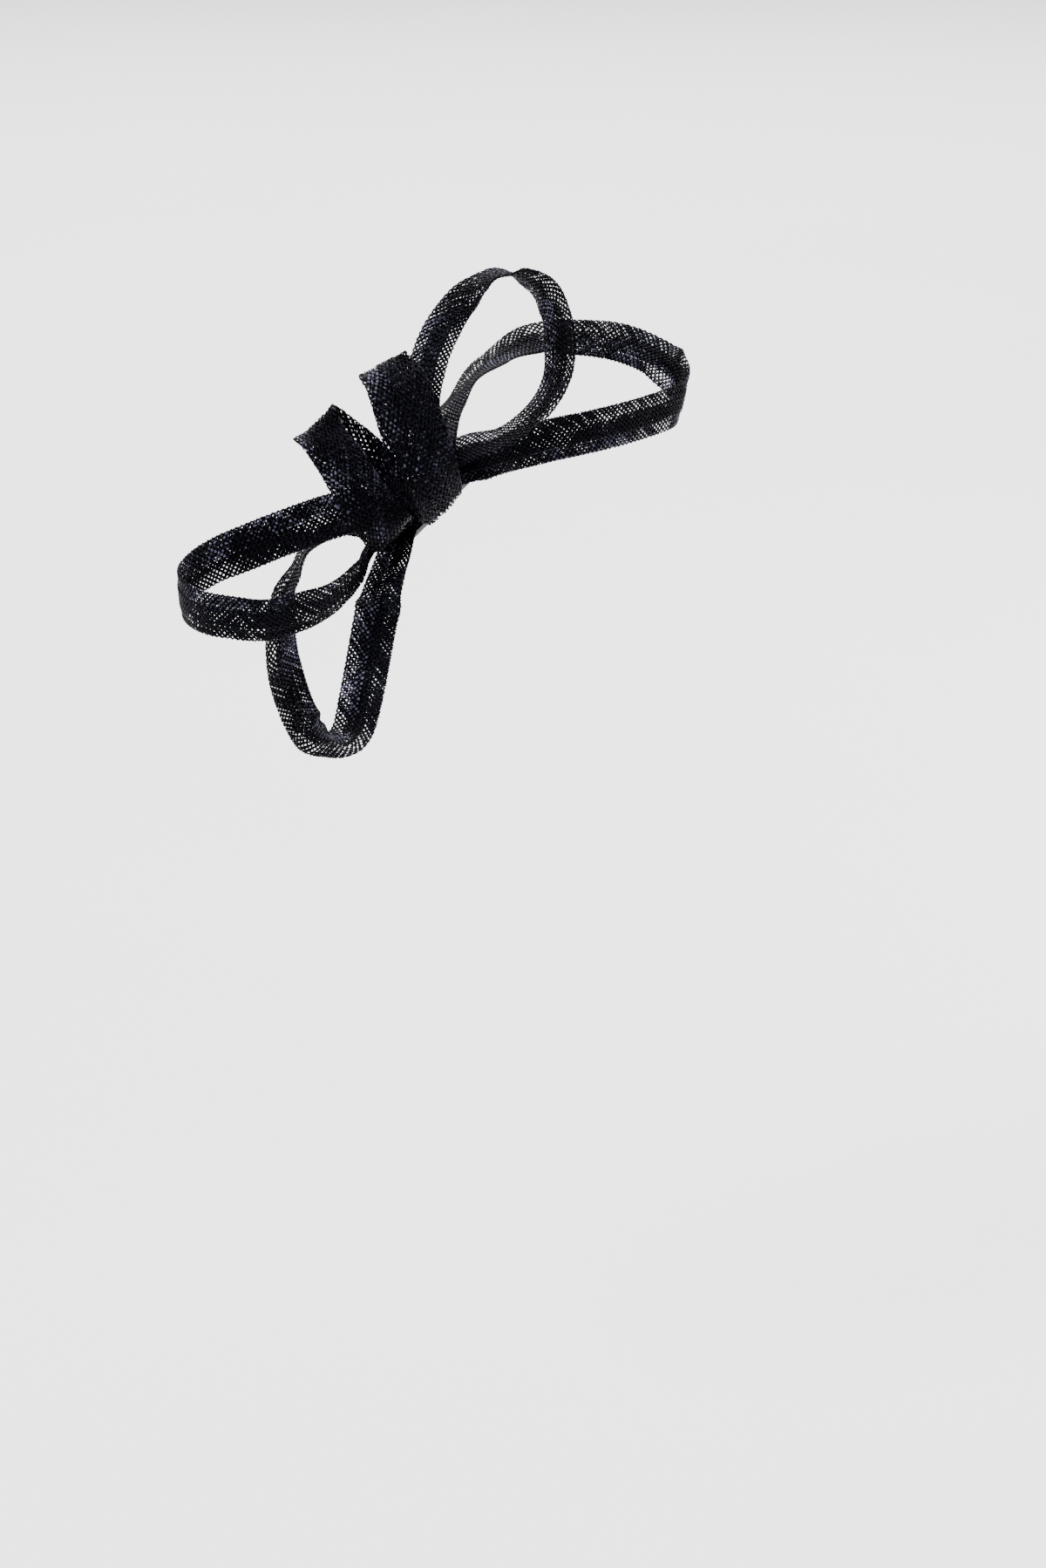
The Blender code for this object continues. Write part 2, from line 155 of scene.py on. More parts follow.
ROUTES = {
    "loop_top": (
        (0.18, 0.16, 0.37, -0.35, 0.95, 0.05, 0.75),
        (0.28, 0.57, 0.62, -0.45, 0.85, -0.20, 1.00),
        (0.42, 0.79, 0.83, -0.45, 0.90, 0.00, 1.00),
        (0.57, 0.94, 0.92, -0.25, 0.95, 0.05, 1.00),
        (0.73, 1.00, 0.98, 0.00, 1.00, -0.05, 1.00),
        (0.87, 0.95, 1.00, 0.30, 0.85, -0.40, 1.00),
        (0.95, 0.80, 0.98, 0.25, 0.60, -0.75, 1.00),
        (0.99, 0.66, 0.88, -0.20, 0.45, -0.85, 1.00),
        (0.99, 0.27, 0.77, -0.65, 0.40, -0.65, 1.00),
        (0.90, -0.06, 0.62, -0.60, 0.70, -0.40, 1.00),
        (0.77, -0.34, 0.52, -0.40, 0.85, -0.35, 1.00),
        (0.60, -0.50, 0.55, -0.10, 0.95, -0.35, 1.00),
        (0.41, -0.43, 0.58, 0.20, 0.90, -0.35, 0.90),
        (0.26, -0.16, 0.56, 0.30, 0.95, -0.10, 0.80),
        (0.16, -0.03, 0.45, 0.10, 1.00, 0.00, 0.65),
    ),
    "loop_right": (
        (0.12, 0.04, 0.08, 0.15, -1.00, 0.00, 0.70),
        (0.18, 0.23, 0.07, 0.35, -0.85, 0.40, 0.80),
        (0.29, 0.54, -0.03, 0.10, -0.90, 0.40, 0.90),
        (0.40, 0.75, -0.18, 0.25, -0.75, 0.60, 1.00),
        (0.57, 0.96, -0.42, 0.10, -0.95, 0.35, 1.00),
        (0.74, 1.00, -0.62, -0.15, -1.00, -0.05, 1.00),
        (0.85, 0.88, -0.79, -0.60, -0.80, 0.00, 1.00),
        (0.95, 0.65, -0.92, -0.85, -0.50, 0.05, 1.00),
        (1.00, 0.34, -1.00, -0.95, -0.30, 0.20, 1.00),
        (0.99, 0.07, -0.97, -0.80, 0.20, -0.55, 1.00),
        (0.93, -0.18, -0.91, -0.70, -0.05, -0.70, 1.00),
        (0.87, -0.30, -0.74, -0.65, -0.25, -0.75, 1.00),
        (0.72, -0.37, -0.45, -0.65, -0.25, -0.75, 1.00),
        (0.57, -0.37, -0.19, -0.60, -0.25, -0.75, 1.00),
        (0.44, -0.31, -0.01, -0.50, -0.30, -0.80, 1.00),
        (0.27, -0.18, 0.11, -0.35, -0.25, -0.90, 0.90),
        (0.19, -0.10, 0.14, -0.25, -0.85, -0.45, 0.70),
        (0.12, -0.02, 0.14, -0.10, -1.00, -0.05, 0.70),
    ),
    "loop_left": (
        (-0.14, 0.10, 0.30, 0.25, 0.95, 0.05, 0.70),
        (-0.23, 0.35, 0.33, 0.45, 0.60, 0.60, 0.95),
        (-0.32, 0.55, 0.31, 0.45, 0.60, 0.65, 1.00),
        (-0.48, 0.77, 0.34, 0.45, 0.70, 0.55, 1.00),
        (-0.66, 0.95, 0.41, 0.40, 0.65, 0.65, 1.00),
        (-0.81, 1.00, 0.55, 0.45, 0.40, 0.80, 1.00),
        (-0.95, 0.86, 0.75, 0.50, 0.25, 0.80, 1.00),
        (-1.00, 0.55, 0.92, 0.60, 0.25, 0.75, 1.00),
        (-0.98, 0.17, 1.00, 0.65, 0.25, 0.75, 1.00),
        (-0.90, -0.14, 0.94, 0.65, 0.25, 0.75, 1.00),
        (-0.82, -0.34, 0.85, 0.55, 0.20, 0.80, 1.00),
        (-0.69, -0.45, 0.71, 0.50, 0.10, 0.85, 1.00),
        (-0.57, -0.48, 0.58, 0.45, -0.10, 0.90, 1.00),
        (-0.46, -0.40, 0.47, 0.25, -0.20, 0.95, 0.90),
        (-0.38, -0.25, 0.32, 0.10, -0.45, 0.90, 0.85),
        (-0.30, -0.05, 0.22, 0.20, -0.90, 0.45, 0.65),
        (-0.18, 0.00, 0.22, -0.15, -1.00, 0.15, 0.65),
    ),
    "loop_lower": (
        (-0.15, -0.05, 0.10, -0.20, 1.00, 0.00, 0.75),
        (-0.27, -0.25, 0.10, -0.55, 0.85, -0.10, 0.95),
        (-0.38, -0.44, 0.09, -0.50, 0.85, 0.00, 1.00),
        (-0.46, -0.59, 0.06, -0.45, 0.45, 0.75, 1.00),
        (-0.58, -0.73, -0.10, -0.60, 0.40, 0.70, 1.00),
        (-0.71, -0.82, -0.34, -0.60, 0.40, 0.70, 1.00),
        (-0.84, -0.87, -0.58, -0.45, 0.30, 0.80, 1.00),
        (-0.90, -0.75, -0.71, 0.05, 0.00, 1.00, 1.00),
        (-0.94, -0.52, -0.78, 0.60, -0.10, 0.80, 0.85),
        (-0.96, -0.14, -0.87, 0.80, -0.45, 0.35, 1.00),
        (-0.89, 0.45, -0.84, 0.75, -0.65, 0.25, 1.00),
        (-0.80, 0.84, -0.77, 0.55, -0.80, 0.25, 1.00),
        (-0.68, 1.00, -0.53, 0.35, -0.85, 0.35, 1.00),
        (-0.55, 0.98, -0.30, 0.10, -0.80, 0.60, 1.00),
        (-0.44, 0.89, -0.08, 0.00, -0.75, 0.65, 1.00),
        (-0.29, 0.64, 0.06, -0.25, -0.85, 0.45, 0.80),
        (-0.16, 0.13, 0.15, -0.30, -0.95, 0.00, 0.75),
    ),
    "ear_left": (
        (-0.98, -0.36, 0.28, -1.00, 0.00, -0.05, 0.75),
        (-1.04, -0.42, 0.38, -1.00, 0.10, 0.00, 0.90),
        (-1.04, -0.33, 0.56, -0.95, -0.10, 0.35, 0.90),
        (-0.95, -0.13, 0.75, -0.90, -0.10, 0.40, 0.90),
        (-0.74, 0.29, 0.92, -0.90, 0.00, 0.40, 0.85),
        (-0.65, 0.65, 1.00, -0.85, -0.25, 0.45, 0.85),
        (-0.57, 0.95, 0.99, -0.95, -0.15, 0.25, 0.85),
        (-0.46, 0.99, 0.82, -0.95, -0.15, 0.15, 0.90),
        (-0.32, 0.72, 0.57, -0.95, -0.25, 0.10, 0.90),
        (-0.25, 0.44, 0.37, -1.00, -0.05, -0.10, 0.70),
        (-0.39, 0.22, 0.32, -1.00, 0.00, 0.00, 0.55),
    ),
    "ear_right": (
        (0.13, -0.42, 0.12, -1.00, -0.10, 0.10, 0.75),
        (0.15, -0.45, 0.24, -0.95, -0.05, 0.20, 0.90),
        (0.24, -0.43, 0.41, -0.95, 0.00, 0.30, 0.95),
        (0.40, -0.32, 0.59, -0.90, 0.10, 0.45, 1.00),
        (0.63, -0.06, 0.77, -0.85, 0.10, 0.50, 1.00),
        (0.78, 0.18, 0.88, -0.85, 0.10, 0.55, 1.00),
        (0.97, 0.58, 0.98, -0.85, 0.10, 0.50, 1.00),
        (1.00, 0.93, 1.00, -0.90, 0.05, 0.40, 0.90),
        (0.97, 1.02, 0.84, -0.90, 0.00, 0.40, 0.90),
        (0.70, 0.74, 0.65, -0.75, 0.05, 0.65, 0.90),
        (0.38, 0.38, 0.50, -0.75, 0.05, 0.65, 0.80),
        (0.13, 0.12, 0.34, -1.00, 0.00, 0.00, 0.55),
    ),
}


def worn_axes():
    """The bow's along, across and rise directions as rows, in the worn position."""
    turn, lift, tilt = (math.radians(angle) for angle in (SEAT_TURN, SEAT_LIFT, BOW_TILT))
    rise = np.array((-math.sin(turn) * math.cos(lift), -math.cos(turn) * math.cos(lift), math.sin(lift)))
    level = np.cross((0.0, 0.0, 1.0), rise)
    level /= np.linalg.norm(level)
    uphill = np.cross(rise, level)
    along = math.cos(tilt) * level + math.sin(tilt) * uphill
    return np.array((along, np.cross(rise, along), rise))


def unit(vectors):
    """Vectors at length one."""
    return vectors / np.maximum(np.linalg.norm(vectors, axis=-1, keepdims=True), 1e-12)


def square_to(vectors, ahead):
    """Vectors at length one, turned square to the directions ahead."""
    return unit(vectors - (vectors * ahead).sum(1)[:, None] * ahead)


def route_stations(node, full_width):
    """Centre, edge direction and width of each station on a band's route, in the bow's axes."""
    rows = []
    for row in ROUTES[node] + TURNED_IN.get(node, ()):
        value = dict(zip(COLUMNS, row))
        place = [value[name] * size for name, size in zip(("along", "across", "rise"), SIZES[node])]
        edge = (value["edge_along"], value["edge_across"], value["edge_rise"])
        rows.append((*place, *unit(np.array(edge)), value["width"] * full_width))
    if node in ROOTS:
        side, layers, ways = ROOTS[node]
        ends = []
        for layer, way in zip(layers, ways):
            height = FIRST_LAYER + layer * LAYER_PITCH
            marks = (ROOT_MEETING_GAP / 2, KNOT_LENGTH / 4, KNOT_LENGTH / 2, KNOT_LENGTH / 2 + ROOT_LEAD)
            ends.append([(side * mark, 0.0, height, 0.0, way, 0.0, ROOT_BAND_WIDTH) for mark in marks])
        rows = ends[0] + rows + ends[1][::-1]
    return np.array(rows)


def wrap_stations():
    """The knot wrap's route, once round the gathered ends."""
    inner_height = ROOTS_PER_SIDE * LAYER_PITCH - LAYER_CLEARANCE + 2 * WRAP_CLEARANCE
    half_width = (ROOT_BAND_WIDTH + 2 * WRAP_CLEARANCE + WRAP_THICKNESS + WRAP_EASE) / 2
    half_height = (inner_height + WRAP_THICKNESS) / 2
    middle = WRAP_BOTTOM + WRAP_THICKNESS / 2 + half_height
    rows = []
    for step in range(WRAP_STEPS + 1):
        angle = 2 * math.pi * (step + 0.5) / WRAP_STEPS + math.pi
        across, up = math.cos(angle), math.sin(angle)
        grow = (abs(across) ** WRAP_SQUARENESS + abs(up) ** WRAP_SQUARENESS) ** (-1 / WRAP_SQUARENESS)
        height = middle + half_height * up * grow
        rows.append((0.0, half_width * across * grow, height, 1.0, 0.0, 0.0, KNOT_LENGTH))
    return np.array(rows)


def smooth_route(stations, step):
    """Closely spaced centres, edge directions and widths on a curve through the stations."""
    points = stations[:, :3]
    padded = np.vstack((2 * points[0] - points[1], points, 2 * points[-1] - points[-2]))
    placed = []
    for index in range(len(points) - 1):
        before, first, second, after = padded[index : index + 4]
        gaps = [np.linalg.norm(b - a) for a, b in ((before, first), (first, second), (second, after))]
        t0, t1, t2, t3 = np.cumsum([0.0] + [max(gap, 1e-6) ** 0.5 for gap in gaps])
        count = max(2, round(np.linalg.norm(second - first) / step))
        last = index == len(points) - 2
        share = np.linspace(0.0, 1.0, count + 1)[: None if last else -1, None]
        t = t1 + share * (t2 - t1)
        a1 = before * (t1 - t) / (t1 - t0) + first * (t - t0) / (t1 - t0)
        a2 = first * (t2 - t) / (t2 - t1) + second * (t - t1) / (t2 - t1)
        a3 = second * (t3 - t) / (t3 - t2) + after * (t - t2) / (t3 - t2)
        b1 = a1 * (t2 - t) / (t2 - t0) + a2 * (t - t0) / (t2 - t0)
        b2 = a2 * (t3 - t) / (t3 - t1) + a3 * (t - t1) / (t3 - t1)
        centre = b1 * (t2 - t) / (t2 - t1) + b2 * (t - t1) / (t2 - t1)
        ease = share * share * (3 - 2 * share)
        rest = stations[index, 3:] * (1 - ease) + stations[index + 1, 3:] * ease
        placed.append(np.hstack((centre, rest)))
    return np.vstack(placed)


class Band:
    """A band's centre line with its edge direction, face direction and width at any distance along it."""

    def __init__(self, stations):
        fine = smooth_route(stations, ROUTE_STEP)
        centre = fine[:, :3]
        ahead = unit(np.gradient(centre, axis=0))
        edge = square_to(unit(fine[:, 3:6]), ahead)
        kernel = np.hanning(EDGE_WINDOW)[1:-1]
        kernel /= kernel.sum()
        padded = np.pad(edge, ((len(kernel) // 2,) * 2, (0, 0)), mode="edge")
        evened = np.stack([np.convolve(column, kernel, mode="valid") for column in padded.T], 1)
        edge = square_to(evened, ahead)
        turn = worn_axes()
        self.centre = centre @ turn
        self.edge = edge @ turn
        self.face = np.cross(ahead, edge) @ turn
        self.width = fine[:, 6]
        self.distance = np.concatenate(([0.0], np.cumsum(np.linalg.norm(np.diff(centre, axis=0), axis=1))))
        self.length = self.distance[-1]

    def at(self, distance):
        """Centre, edge, face and width at distances along the band."""
        def read(values):
            if values.ndim == 1:
                return np.interp(distance, self.distance, values)
            return np.stack([np.interp(distance, self.distance, column) for column in values.T], -1)
        return read(self.centre), unit(read(self.edge)), unit(read(self.face)), read(self.width)


def folded_section(cross, width, fold, lap, lap_rise):
    """Where points of the flat strip lie once its edges are folded in: sideways, off the face, and slope."""
    half = width / 2 - fold
    side = np.sign(cross) + (cross == 0)
    distance = np.abs(cross)
    arc = np.clip((distance - half) / fold, 0.0, math.pi)
    flap = np.maximum(distance - half - math.pi * fold, 0.0)
    sideways = side * (np.minimum(distance, half) + fold * np.sin(arc) - flap)
    off_face = -fold * np.cos(arc)
    climb = np.clip((lap / 2 + LAP_BLEND - sideways * side) / LAP_BLEND, 0.0, 1.0)
    over = (side < 0) & (flap > 0)
    off_face = off_face + np.where(over, lap_rise * climb * climb * (3 - 2 * climb), 0.0)
    return sideways, off_face, side * np.cos(arc), np.sin(arc)


def thread_tube(point, normal, width, thickness, first):
    """Corners and outward faces of one thread, a closed flat tube, with corners numbered from first."""
    ahead = unit(np.gradient(point, axis=0))
    normal = square_to(normal, ahead)
    beside = np.cross(normal, ahead)
    ring = np.stack((
        point + beside * width / 2,
        point + normal * thickness / 2,
        point - beside * width / 2,
        point - normal * thickness / 2,
    ), 1)
    start = first + 4 * np.arange(len(point) - 1)[:, None]
    corner = start + np.arange(4)
    neighbour = start + (np.arange(4) + 1) % 4
    sides = np.stack((corner, neighbour, neighbour + 4, corner + 4), -1).reshape(-1, 4)
    near_cap = first + np.arange(4)[::-1]
    far_cap = first + 4 * (len(point) - 1) + np.arange(4)
    return ring.reshape(-1, 3), np.vstack((sides, near_cap, far_cap))


def weave(band, net, seed, full_width, cut_width, spacing, rows_across, slips):
    """Corners, faces and a tone per corner of a folded net band: each thread's own random tone plus a
    painted highlight at every second crossing, where the thread lies on top.
    """
    numbers = np.random.default_rng(seed)
    half = full_width / 2 - net.fold_radius
    fold_length = math.pi * net.fold_radius
    row = (2 * half + fold_length) / rows_across
    rows = int(cut_width / 2 / row)
    marks = np.arange(-2 * rows, 2 * rows + 1) / 2
    flap = np.clip(np.abs(marks * row) / half - 1.0, 0.0, 1.0)
    turned = np.clip((np.abs(marks * row) - half) / fold_length, 0.0, 1.0)
    phase = numbers.random(6) * 2 * math.pi
    lap = cut_width - 2 * full_width
    margin = rows // 2 + 2
    slip_shares, edge_slips, other_slips = np.array(slips).T
    verts, faces, tones_and_glints = [], [], []
    total = 0
    for family in (1, -1):
        for thread in range(-margin, int(band.length / spacing) + margin):
            jitter = numbers.normal(0.0, net.unevenness * spacing)
            tone = numbers.random()
            fullness = numbers.uniform(*FULLNESS)
            distance = (thread + 0.5 + family * marks / 2) * spacing + jitter
            share = np.clip(distance / band.length, 0.0, 1.0)
            edge_slip = np.interp(share, slip_shares, edge_slips)
            other_slip = -np.interp(share, slip_shares, other_slips)
            slip = turned * np.where(marks > 0, edge_slip, other_slip)
            edge_drift, other_drift = (np.sin(distance / FLAP_DRIFT[k] + phase[k + 2]) for k in (0, 1))
            drift = np.sign(marks) + DRIFT_SHARE * np.where(marks > 0, edge_drift, other_drift)
            distance = distance + spacing * (slip + flap * flap * net.skew * drift)
            keep = (distance > 0.0) & (distance < band.length)
            if keep.sum() < FEWEST_MARKS:
                continue
            distance = distance[keep]
            mark = marks[keep]
            slow, quick = (np.sin(distance / FOLD_DRIFT[k] + phase[k]) for k in (0, 1))
            cross = mark * row + net.wander * (slow + DRIFT_SHARE * quick)
            section = folded_section(cross, full_width, net.fold_radius, lap, net.lap_rise)
            sideways, off_face, slope_side, slope_off = (values[:, None] for values in section)
            centre, edge, face, width = band.at(distance)
            squeeze = (width / full_width)[:, None]
            normal = unit(face * slope_side - edge * slope_off * np.sign(cross)[:, None])
            ripple = family * net.ripple * np.cos(math.pi * mark)[:, None]
            point = centre + edge * sideways * squeeze + face * off_face + normal * ripple
            tube = thread_tube(point, normal, net.thread_width * fullness, net.thread_thickness, total)
            verts.append(tube[0])
            faces.append(tube[1])
            # Painted highlight: the thread is made lighter where it lies on top at a crossing, standing in
            # for the glint of light there; the rest is its own random tone.
            crest_glint = np.clip(-family * np.cos(math.pi * mark), 0.0, 1.0)
            tones_and_glints.append(np.repeat(OWN_TONE * tone + (1.0 - OWN_TONE) * crest_glint, 4))
            total += len(tube[0])
    return np.vstack(verts), np.vstack(faces), np.concatenate(tones_and_glints)


def mesh_piece(name, verts, faces, tones_and_glints, material):
    """A new mesh object at the origin from arrays of corners and four-sided faces."""
    mesh = bpy.data.meshes.new(name)
    mesh.vertices.add(len(verts))
    mesh.vertices.foreach_set("co", verts.astype(np.float32).ravel())
    mesh.loops.add(faces.size)
    mesh.loops.foreach_set("vertex_index", faces.astype(np.int32).ravel())
    mesh.polygons.add(len(faces))
    mesh.polygons.foreach_set("loop_start", np.arange(0, faces.size, 4, dtype=np.int32))
    mesh.polygons.foreach_set("use_smooth", np.ones(len(faces), dtype=bool))
    # The tone attribute holds each thread's random tone together with the painted highlights on its
    # crossings.
    tone = mesh.attributes.new("tone", "FLOAT", "POINT")
    tone.data.foreach_set("value", tones_and_glints.astype(np.float32))
    mesh.update(calc_edges=True)
    mesh.validate()
    mesh.materials.append(material)
    piece = bpy.data.objects.new(name, mesh)
    bpy.context.scene.collection.objects.link(piece)
    return piece


def new_material(name):
    """A new node material, its tree and its shader."""
    material = bpy.data.materials.new(name)
    material.use_nodes = True
    tree = material.node_tree
    return material, tree, tree.nodes["Principled BSDF"]


def noise(tree, scale, detail):
    """A noise pattern in the piece's own coordinates."""
    place = tree.nodes.new("ShaderNodeTexCoord")
    pattern = tree.nodes.new("ShaderNodeTexNoise")
    pattern.inputs["Scale"].default_value = scale
    pattern.inputs["Detail"].default_value = detail
    tree.links.new(place.outputs["Object"], pattern.inputs["Vector"])
    return pattern.outputs["Fac"]


def colour_between(tree, shader, pattern, places, colours):
    """Base colour that runs from one colour to another between two places on a pattern."""
    ramp = tree.nodes.new("ShaderNodeValToRGB")
    for index in (0, 1):
        ramp.color_ramp.elements[index].position = places[index]
        ramp.color_ramp.elements[index].color = (*colours[index], 1.0)
    tree.links.new(pattern, ramp.inputs["Fac"])
    tree.links.new(ramp.outputs["Color"], shader.inputs["Base Color"])


def gloss_and_bump(tree, shader, pattern, roughness, strength, depth):
    """Roughness and bump that follow a pattern."""
    gloss = tree.nodes.new("ShaderNodeMapRange")
    gloss.inputs["To Min"].default_value = roughness[0]
    gloss.inputs["To Max"].default_value = roughness[1]
    tree.links.new(pattern, gloss.inputs["Value"])
    tree.links.new(gloss.outputs["Result"], shader.inputs["Roughness"])
    bump = tree.nodes.new("ShaderNodeBump")
    bump.inputs["Strength"].default_value = strength
    bump.inputs["Distance"].default_value = depth
    tree.links.new(pattern, bump.inputs["Height"])
    tree.links.new(bump.outputs["Normal"], shader.inputs["Normal"])


def net_material(name, colours):
    """Dyed plant fibre: near black and uneven from thread to thread, with blue and violet highlights painted
    on the crossings where a thread lies on top.
    """
    material, tree, shader = new_material(name)
    # The tone attribute carries the painted crossing highlights as well as each thread's random tone, and
    # the ramp turns the highest values into the light colour.
    tone = tree.nodes.new("ShaderNodeAttribute")
    tone.attribute_name = "tone"
    light = tree.nodes.new("ShaderNodeMath")
    light.operation = "MULTIPLY"
    tree.links.new(tone.outputs["Fac"], light.inputs[0])
    tree.links.new(noise(tree, scale=90.0, detail=3.0), light.inputs[1])
    colour_between(tree, shader, light.outputs["Value"], (0.27, 0.52), (colours.deep, colours.light))
    fibre = noise(tree, scale=4200.0, detail=2.0)
    gloss_and_bump(tree, shader, fibre, roughness=(0.22, 0.42), strength=0.35, depth=0.00005)
    shader.inputs["Specular IOR Level"].default_value = 0.06
    shader.inputs["Specular Tint"].default_value = (*colours.sheen, 1.0)
    return material


def clip_material():
    """Black enamelled spring steel with worn, slightly brighter patches."""
    material, tree, shader = new_material("clip_metal")
    wear = noise(tree, scale=260.0, detail=6.0)
    colour_between(tree, shader, wear, (0.55, 0.8), ((0.012, 0.012, 0.014), (0.045, 0.045, 0.05)))
    gloss_and_bump(tree, shader, wear, roughness=(0.22, 0.45), strength=0.15, depth=0.0001)
    return material


def floor_material():
    """Plain pale paper floor."""
    material, tree, shader = new_material("pale_floor")
    grain = noise(tree, scale=3.0, detail=2.0)
    colour_between(tree, shader, grain, (0.0, 1.0), ((0.86, 0.86, 0.86), (0.90, 0.90, 0.90)))
    shader.inputs["Roughness"].default_value = 0.9
    return material


def area_light(name, place, turn, shape, size, power):
    """A soft light, turned in degrees about each axis."""
    bpy.ops.object.light_add(type="AREA", location=place)
    light = bpy.context.object
    light.name = name
    light.data.shape = shape
    light.data.size = size
    light.data.energy = power
    light.rotation_euler = [math.radians(angle) for angle in turn]


class BowNet(bpy.types.PropertyGroup):
    """The net that the bands are folded from."""

    hole_spacing: bpy.props.FloatProperty(
        name="Hole spacing", description="From hole to hole along a long loop",
        default=0.00165, unit="LENGTH", precision=5,
    )
    ear_spacing: bpy.props.FloatProperty(
        name="Stretched hole spacing",
        description="From hole to hole along an upright loop, whose net is pulled lengthways",
        default=0.00260, unit="LENGTH", precision=5,
    )
    thread_width: bpy.props.FloatProperty(
        name="Thread width", description="Width of one thread",
        default=0.00068, unit="LENGTH", precision=5,
    )
    thread_thickness: bpy.props.FloatProperty(
        name="Thread thickness", description="Thickness of one thread",
        default=0.00024, unit="LENGTH", precision=5,
    )
    ripple: bpy.props.FloatProperty(
        name="Weave ripple", description="How far a thread rises and dips at each crossing",
        default=0.00016, unit="LENGTH", precision=5,
    )
    fold_radius: bpy.props.FloatProperty(
        name="Fold radius", description="Bend of the net at a folded edge",
        default=0.00026, unit="LENGTH", precision=5,
    )
    lap_rise: bpy.props.FloatProperty(
        name="Lap rise", description="How far one folded edge lies over the other",
        default=0.00038, unit="LENGTH", precision=5,
    )
    wander: bpy.props.FloatProperty(
        name="Fold wander", description="How far the folds drift across the weave",
        default=0.00008, unit="LENGTH", precision=5,
    )
    skew: bpy.props.FloatProperty(
        name="Flap skew",
        description="How far the folded-in net slips lengthways, as a share of the hole spacing",
        default=0.45, min=0.0, max=2.0,
    )
    unevenness: bpy.props.FloatProperty(
        name="Unevenness",
        description="Uneven spacing of the threads, as a share of the hole spacing",
        default=0.06, min=0.0, max=0.4,
    )
    loop_width: bpy.props.FloatProperty(
        name="Long loop width", description="Folded width of the long loops",
        default=0.0135, unit="LENGTH", precision=4,
    )
    loop_cut: bpy.props.FloatProperty(
        name="Long loop cut", description="Width that the long loops' strip is cut to",
        default=0.0330, unit="LENGTH", precision=4,
    )
    ear_width: bpy.props.FloatProperty(
        name="Upright loop width", description="Folded width of the upright loops",
        default=0.0175, unit="LENGTH", precision=4,
    )
    ear_cut: bpy.props.FloatProperty(
        name="Upright loop cut", description="Width that the upright loops' strip is cut to",
        default=0.0420, unit="LENGTH", precision=4,
    )
    loop_rows: bpy.props.IntProperty(
        name="Long loop rows",
        description="Half rows of holes across a long loop; even numbers line the layers up",
        default=16, min=4,
    )
    ear_rows: bpy.props.IntProperty(
        name="Upright loop rows",
        description="Half rows of holes across an upright loop; even numbers line the layers up",
        default=22, min=4,
    )


class BowColours(bpy.types.PropertyGroup):
    """Colours of the dyed net, and of the highlights painted on its crossings."""

    deep: bpy.props.FloatVectorProperty(
        name="Deep", description="Darkest thread colour",
        default=(0.0008, 0.0008, 0.0013), subtype="COLOR", min=0.0, max=1.0,
    )
    # The light colour is mostly the painted highlight on the thread crossings, and also the lightest random
    # thread tone.
    light: bpy.props.FloatVectorProperty(
        name="Light", description="Lightest thread colour",
        default=(0.085, 0.080, 0.125), subtype="COLOR", min=0.0, max=1.0,
    )
    sheen: bpy.props.FloatVectorProperty(
        name="Sheen", description="Colour of the fibre sheen",
        default=(0.55, 0.55, 0.85), subtype="COLOR", min=0.0, max=1.0,
    )


class BowStage(bpy.types.PropertyGroup):
    """Floor, light and camera."""

    floor_height: bpy.props.FloatProperty(
        name="Floor height", description="Height of the floor",
        default=-0.36, unit="LENGTH",
    )
    lens: bpy.props.FloatProperty(
        name="Lens", description="Focal length of the camera",
        default=85.0, unit="CAMERA",
    )
    pitch: bpy.props.FloatProperty(
        name="Pitch", description="How far the camera looks down",
        default=math.radians(17.0), subtype="ANGLE",
    )
    camera_place: bpy.props.FloatVectorProperty(
        name="Camera place", description="Where the camera is",
        default=(0.02766, -1.07861, 0.24381), subtype="TRANSLATION",
    )
    overhead_power: bpy.props.FloatProperty(
        name="Overhead light", description="Power of the wide light over the floor",
        default=520.0, unit="POWER",
    )
    key_power: bpy.props.FloatProperty(
        name="Key light", description="Power of the soft light at the left",
        default=60.0, unit="POWER",
    )
    sky: bpy.props.FloatProperty(
        name="Surround", description="Strength of the white surround",
        default=0.55, min=0.0,
    )


def net_band(node, stations, full_width, cut_width, spacing, rows_across, seed):
    """One woven band that stands for its plain solid."""
    scene = bpy.context.scene
    band = Band(stations)
    woven = weave(band, scene.bow_net, seed, full_width, cut_width, spacing, rows_across, SLIPS[node])
    piece = mesh_piece(f"{node}_weave", *woven, net_material(f"{node}_net", scene.bow_colours))
    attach(piece, "root")
    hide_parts(node)


class BOW_OT_knot_wrap(bpy.types.Operator):
    """Weave the binding round the gathered ends of the loops"""

    bl_idname = "bow.knot_wrap"
    bl_label = "Knot wrap"

    def execute(self, context):
        spacing = context.scene.bow_net.hole_spacing
        cut_width = KNOT_LENGTH * WRAP_CUT_TIMES
        net_band("knot_wrap", wrap_stations(), KNOT_LENGTH, cut_width, spacing, WRAP_ROWS, seed=7)
        return {"FINISHED"}


class BOW_OT_long_loops(bpy.types.Operator):
    """Weave the four long loops of the bow"""

    bl_idname = "bow.long_loops"
    bl_label = "Long loops"

    def execute(self, context):
        net = context.scene.bow_net
        for seed, node in enumerate(("loop_top", "loop_right", "loop_left", "loop_lower"), start=1):
            stations = route_stations(node, net.loop_width)
            net_band(node, stations, net.loop_width, net.loop_cut, net.hole_spacing, net.loop_rows, seed)
        return {"FINISHED"}


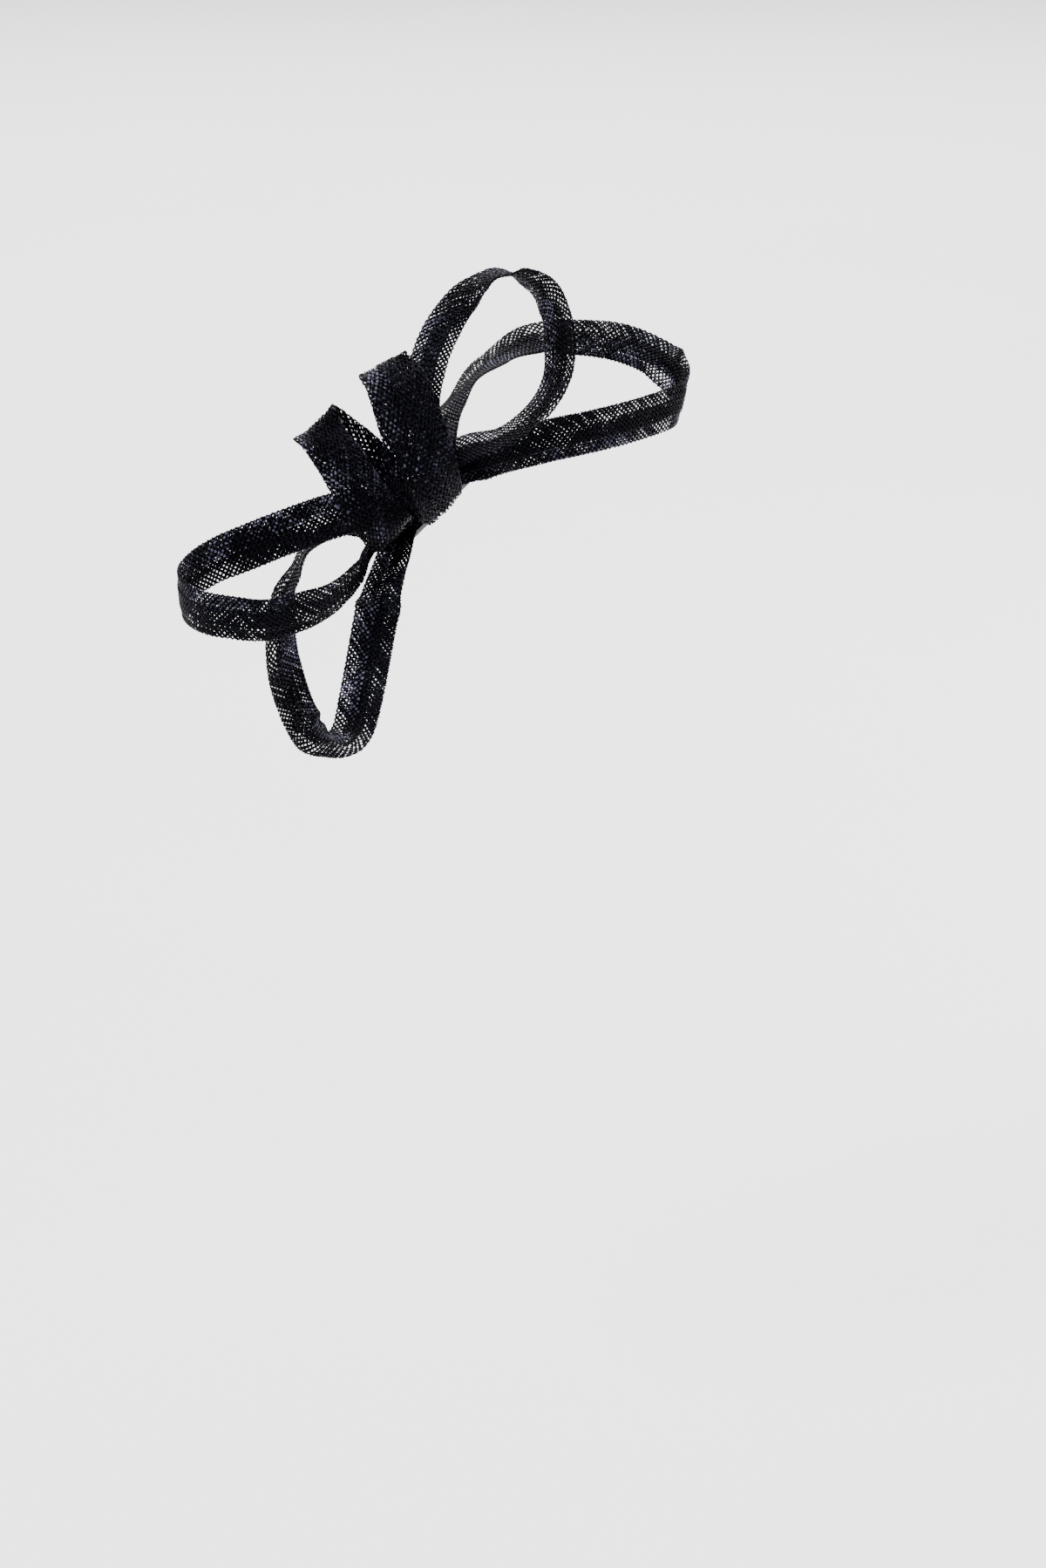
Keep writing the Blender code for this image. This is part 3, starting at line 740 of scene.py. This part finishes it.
class BOW_OT_upright_loops(bpy.types.Operator):
    """Weave the two short wide loops that rise over the knot"""

    bl_idname = "bow.upright_loops"
    bl_label = "Upright loops"

    def execute(self, context):
        net = context.scene.bow_net
        for seed, node in enumerate(("ear_left", "ear_right"), start=5):
            stations = route_stations(node, net.ear_width)
            net_band(node, stations, net.ear_width, net.ear_cut, net.ear_spacing, net.ear_rows, seed)
        return {"FINISHED"}


class BOW_OT_hair_clip(bpy.types.Operator):
    """Give the hidden hair clip its enamelled steel finish"""

    bl_idname = "bow.hair_clip"
    bl_label = "Hair clip"

    def execute(self, context):
        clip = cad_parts["hair_clip"]
        material = clip_material()
        for slot in clip.material_slots:
            slot.material = material
        return {"FINISHED"}


class BOW_OT_stage(bpy.types.Operator):
    """Set the pale floor, the soft light and the camera"""

    bl_idname = "bow.stage"
    bl_label = "Stage"

    def execute(self, context):
        scene = context.scene
        stage = scene.bow_stage
        bpy.ops.object.select_all(action="DESELECT")
        bpy.ops.mesh.primitive_plane_add(size=FLOOR_SIZE, location=(0.0, FLOOR_MIDDLE, stage.floor_height))
        floor = context.object
        floor.name = "floor"
        floor.data.materials.append(floor_material())
        area_light("overhead_light", (0.0, 3.2, 2.6), (0, 0, 0), "SQUARE", 5.0, stage.overhead_power)
        area_light("key_light", (-0.75, -0.95, 1.15), (45, 0, -45), "DISK", 0.6, stage.key_power)
        rim_power = stage.key_power * RIM_SHARE
        area_light("rim_light", (1.2, 0.8, 0.9), (60, 0, 124), "DISK", 1.0, rim_power)
        world = bpy.data.worlds.new("white_surround")
        world.use_nodes = True
        surround = world.node_tree.nodes["Background"]
        surround.inputs["Color"].default_value = (1.0, 1.0, 1.0, 1.0)
        surround.inputs["Strength"].default_value = stage.sky
        scene.world = world
        level = math.pi / 2
        bpy.ops.object.camera_add(location=stage.camera_place, rotation=(level - stage.pitch, 0.0, 0.0))
        camera = context.object
        camera.name = "photo_camera"
        camera.data.lens = stage.lens
        camera.data.sensor_width = 36.0
        camera.data.clip_end = 100.0
        scene.camera = camera
        return {"FINISHED"}


class BOW_PT_panel(bpy.types.Panel):
    """The bow's sizes, colours and pieces"""

    bl_label = "Looped bow"
    bl_idname = "BOW_PT_panel"
    bl_space_type = "VIEW_3D"
    bl_region_type = "UI"
    bl_category = "Bow"

    def draw(self, context):
        layout = self.layout
        for group in (context.scene.bow_net, context.scene.bow_colours, context.scene.bow_stage):
            box = layout.box()
            for name in group.__annotations__:
                box.prop(group, name)
        for operator in OPERATORS:
            layout.operator(operator.bl_idname)


GROUPS = (BowNet, BowColours, BowStage)
OPERATORS = (BOW_OT_knot_wrap, BOW_OT_long_loops, BOW_OT_upright_loops, BOW_OT_hair_clip, BOW_OT_stage)


def register():
    for item in (*GROUPS, *OPERATORS, BOW_PT_panel):
        bpy.utils.register_class(item)
    bpy.types.Scene.bow_net = bpy.props.PointerProperty(type=BowNet)
    bpy.types.Scene.bow_colours = bpy.props.PointerProperty(type=BowColours)
    bpy.types.Scene.bow_stage = bpy.props.PointerProperty(type=BowStage)


def unregister():
    for name in ("bow_net", "bow_colours", "bow_stage"):
        delattr(bpy.types.Scene, name)
    for item in (BOW_PT_panel, *reversed(OPERATORS), *reversed(GROUPS)):
        bpy.utils.unregister_class(item)


def main():
    """Make every piece in order."""
    register()
    bpy.ops.bow.knot_wrap()
    bpy.ops.bow.long_loops()
    bpy.ops.bow.upright_loops()
    bpy.ops.bow.hair_clip()
    bpy.ops.bow.stage()


if __name__ == "__main__":
    main()
